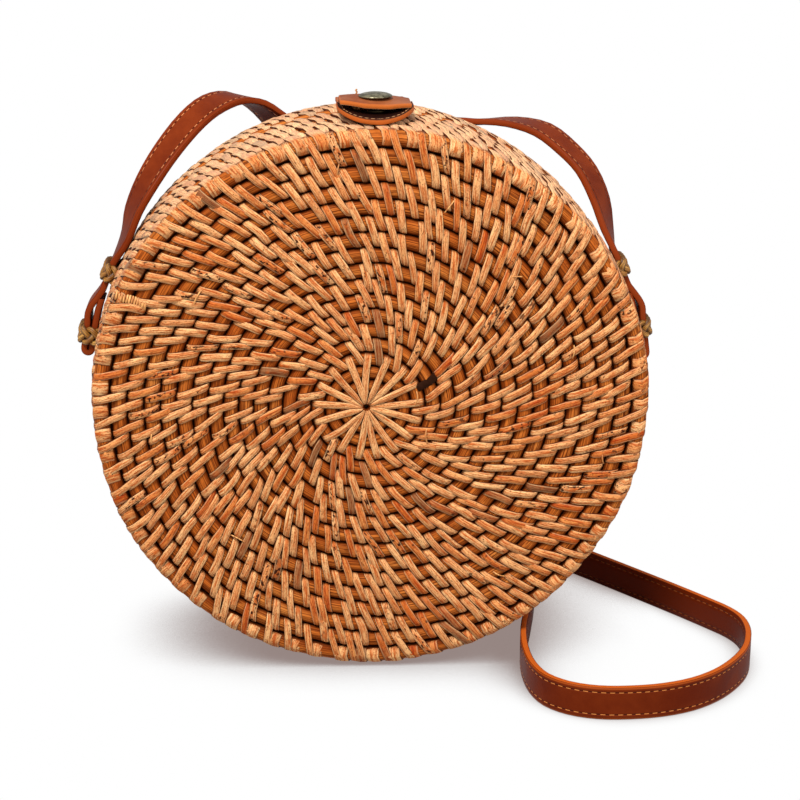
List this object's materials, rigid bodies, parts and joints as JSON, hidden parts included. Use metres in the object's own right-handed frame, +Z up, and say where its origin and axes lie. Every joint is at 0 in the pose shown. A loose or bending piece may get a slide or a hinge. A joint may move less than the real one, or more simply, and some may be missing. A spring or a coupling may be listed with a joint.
{
  "type": "round woven shoulder bag",
  "caption": "Round woven rattan shoulder bag that opens like a clam, with a leather flap with a snap and a flat leather shoulder strap tied to its sides.",
  "frame": {"origin": "On the floor under the seam, at the middle of the bag's worn standing flat", "axes": "+X right as seen from the front, +Y from the front face to the back face, +Z up"},
  "size_m": [0.2477, 0.1611, 0.2086],
  "materials": {
    "pale_rattan": "split rattan, satin",
    "rattan_core": "coiled rattan core, matte",
    "lining_fabric": "plain woven cotton",
    "strap_leather": "smooth tan leather, stitched edges",
    "clasp_leather": "smooth tan leather",
    "knot_rattan": "woven rattan strands",
    "snap_brass": "antique brass"
  },
  "bodies": {
    "back": {"back_shell": "rattan_core", "back_rim_cane": "pale_rattan", "back_rosette": "pale_rattan", "back_lining": "lining_fabric", "back_hinge_wraps": "pale_rattan", "flap_anchor": "clasp_leather", "flap_anchor_ties": "pale_rattan", "shoulder_strap": "strap_leather", "left_upper_knot": "knot_rattan", "left_lower_knot": "knot_rattan", "right_upper_knot": "knot_rattan", "right_lower_knot": "knot_rattan"},
    "front": {"front_shell": "rattan_core", "front_rim_cane": "pale_rattan", "front_rosette": "pale_rattan", "front_lining": "lining_fabric", "front_hinge_wraps": "pale_rattan", "front_tab": "clasp_leather", "front_tab_ties": "pale_rattan", "snap_stud": "snap_brass", "snap_post": "snap_brass"},
    "flap": {"closure_flap": "clasp_leather", "snap_cap": "snap_brass", "snap_socket": "snap_brass"}
  },
  "joints": [
    {"name": "front_shell_open", "type": "hinge", "parent": "back", "child": "front", "pos_m": [0, 0, 0], "axis": [1, 0, 0], "range_deg": [0, 100], "deforming": ["shoulder_strap"]},
    {"name": "flap_lift", "type": "hinge", "parent": "back", "child": "flap", "pos_m": [0.002, 0.006, 0.201], "axis": [-1, 0, 0], "range_deg": [0, 100]}
  ]
}
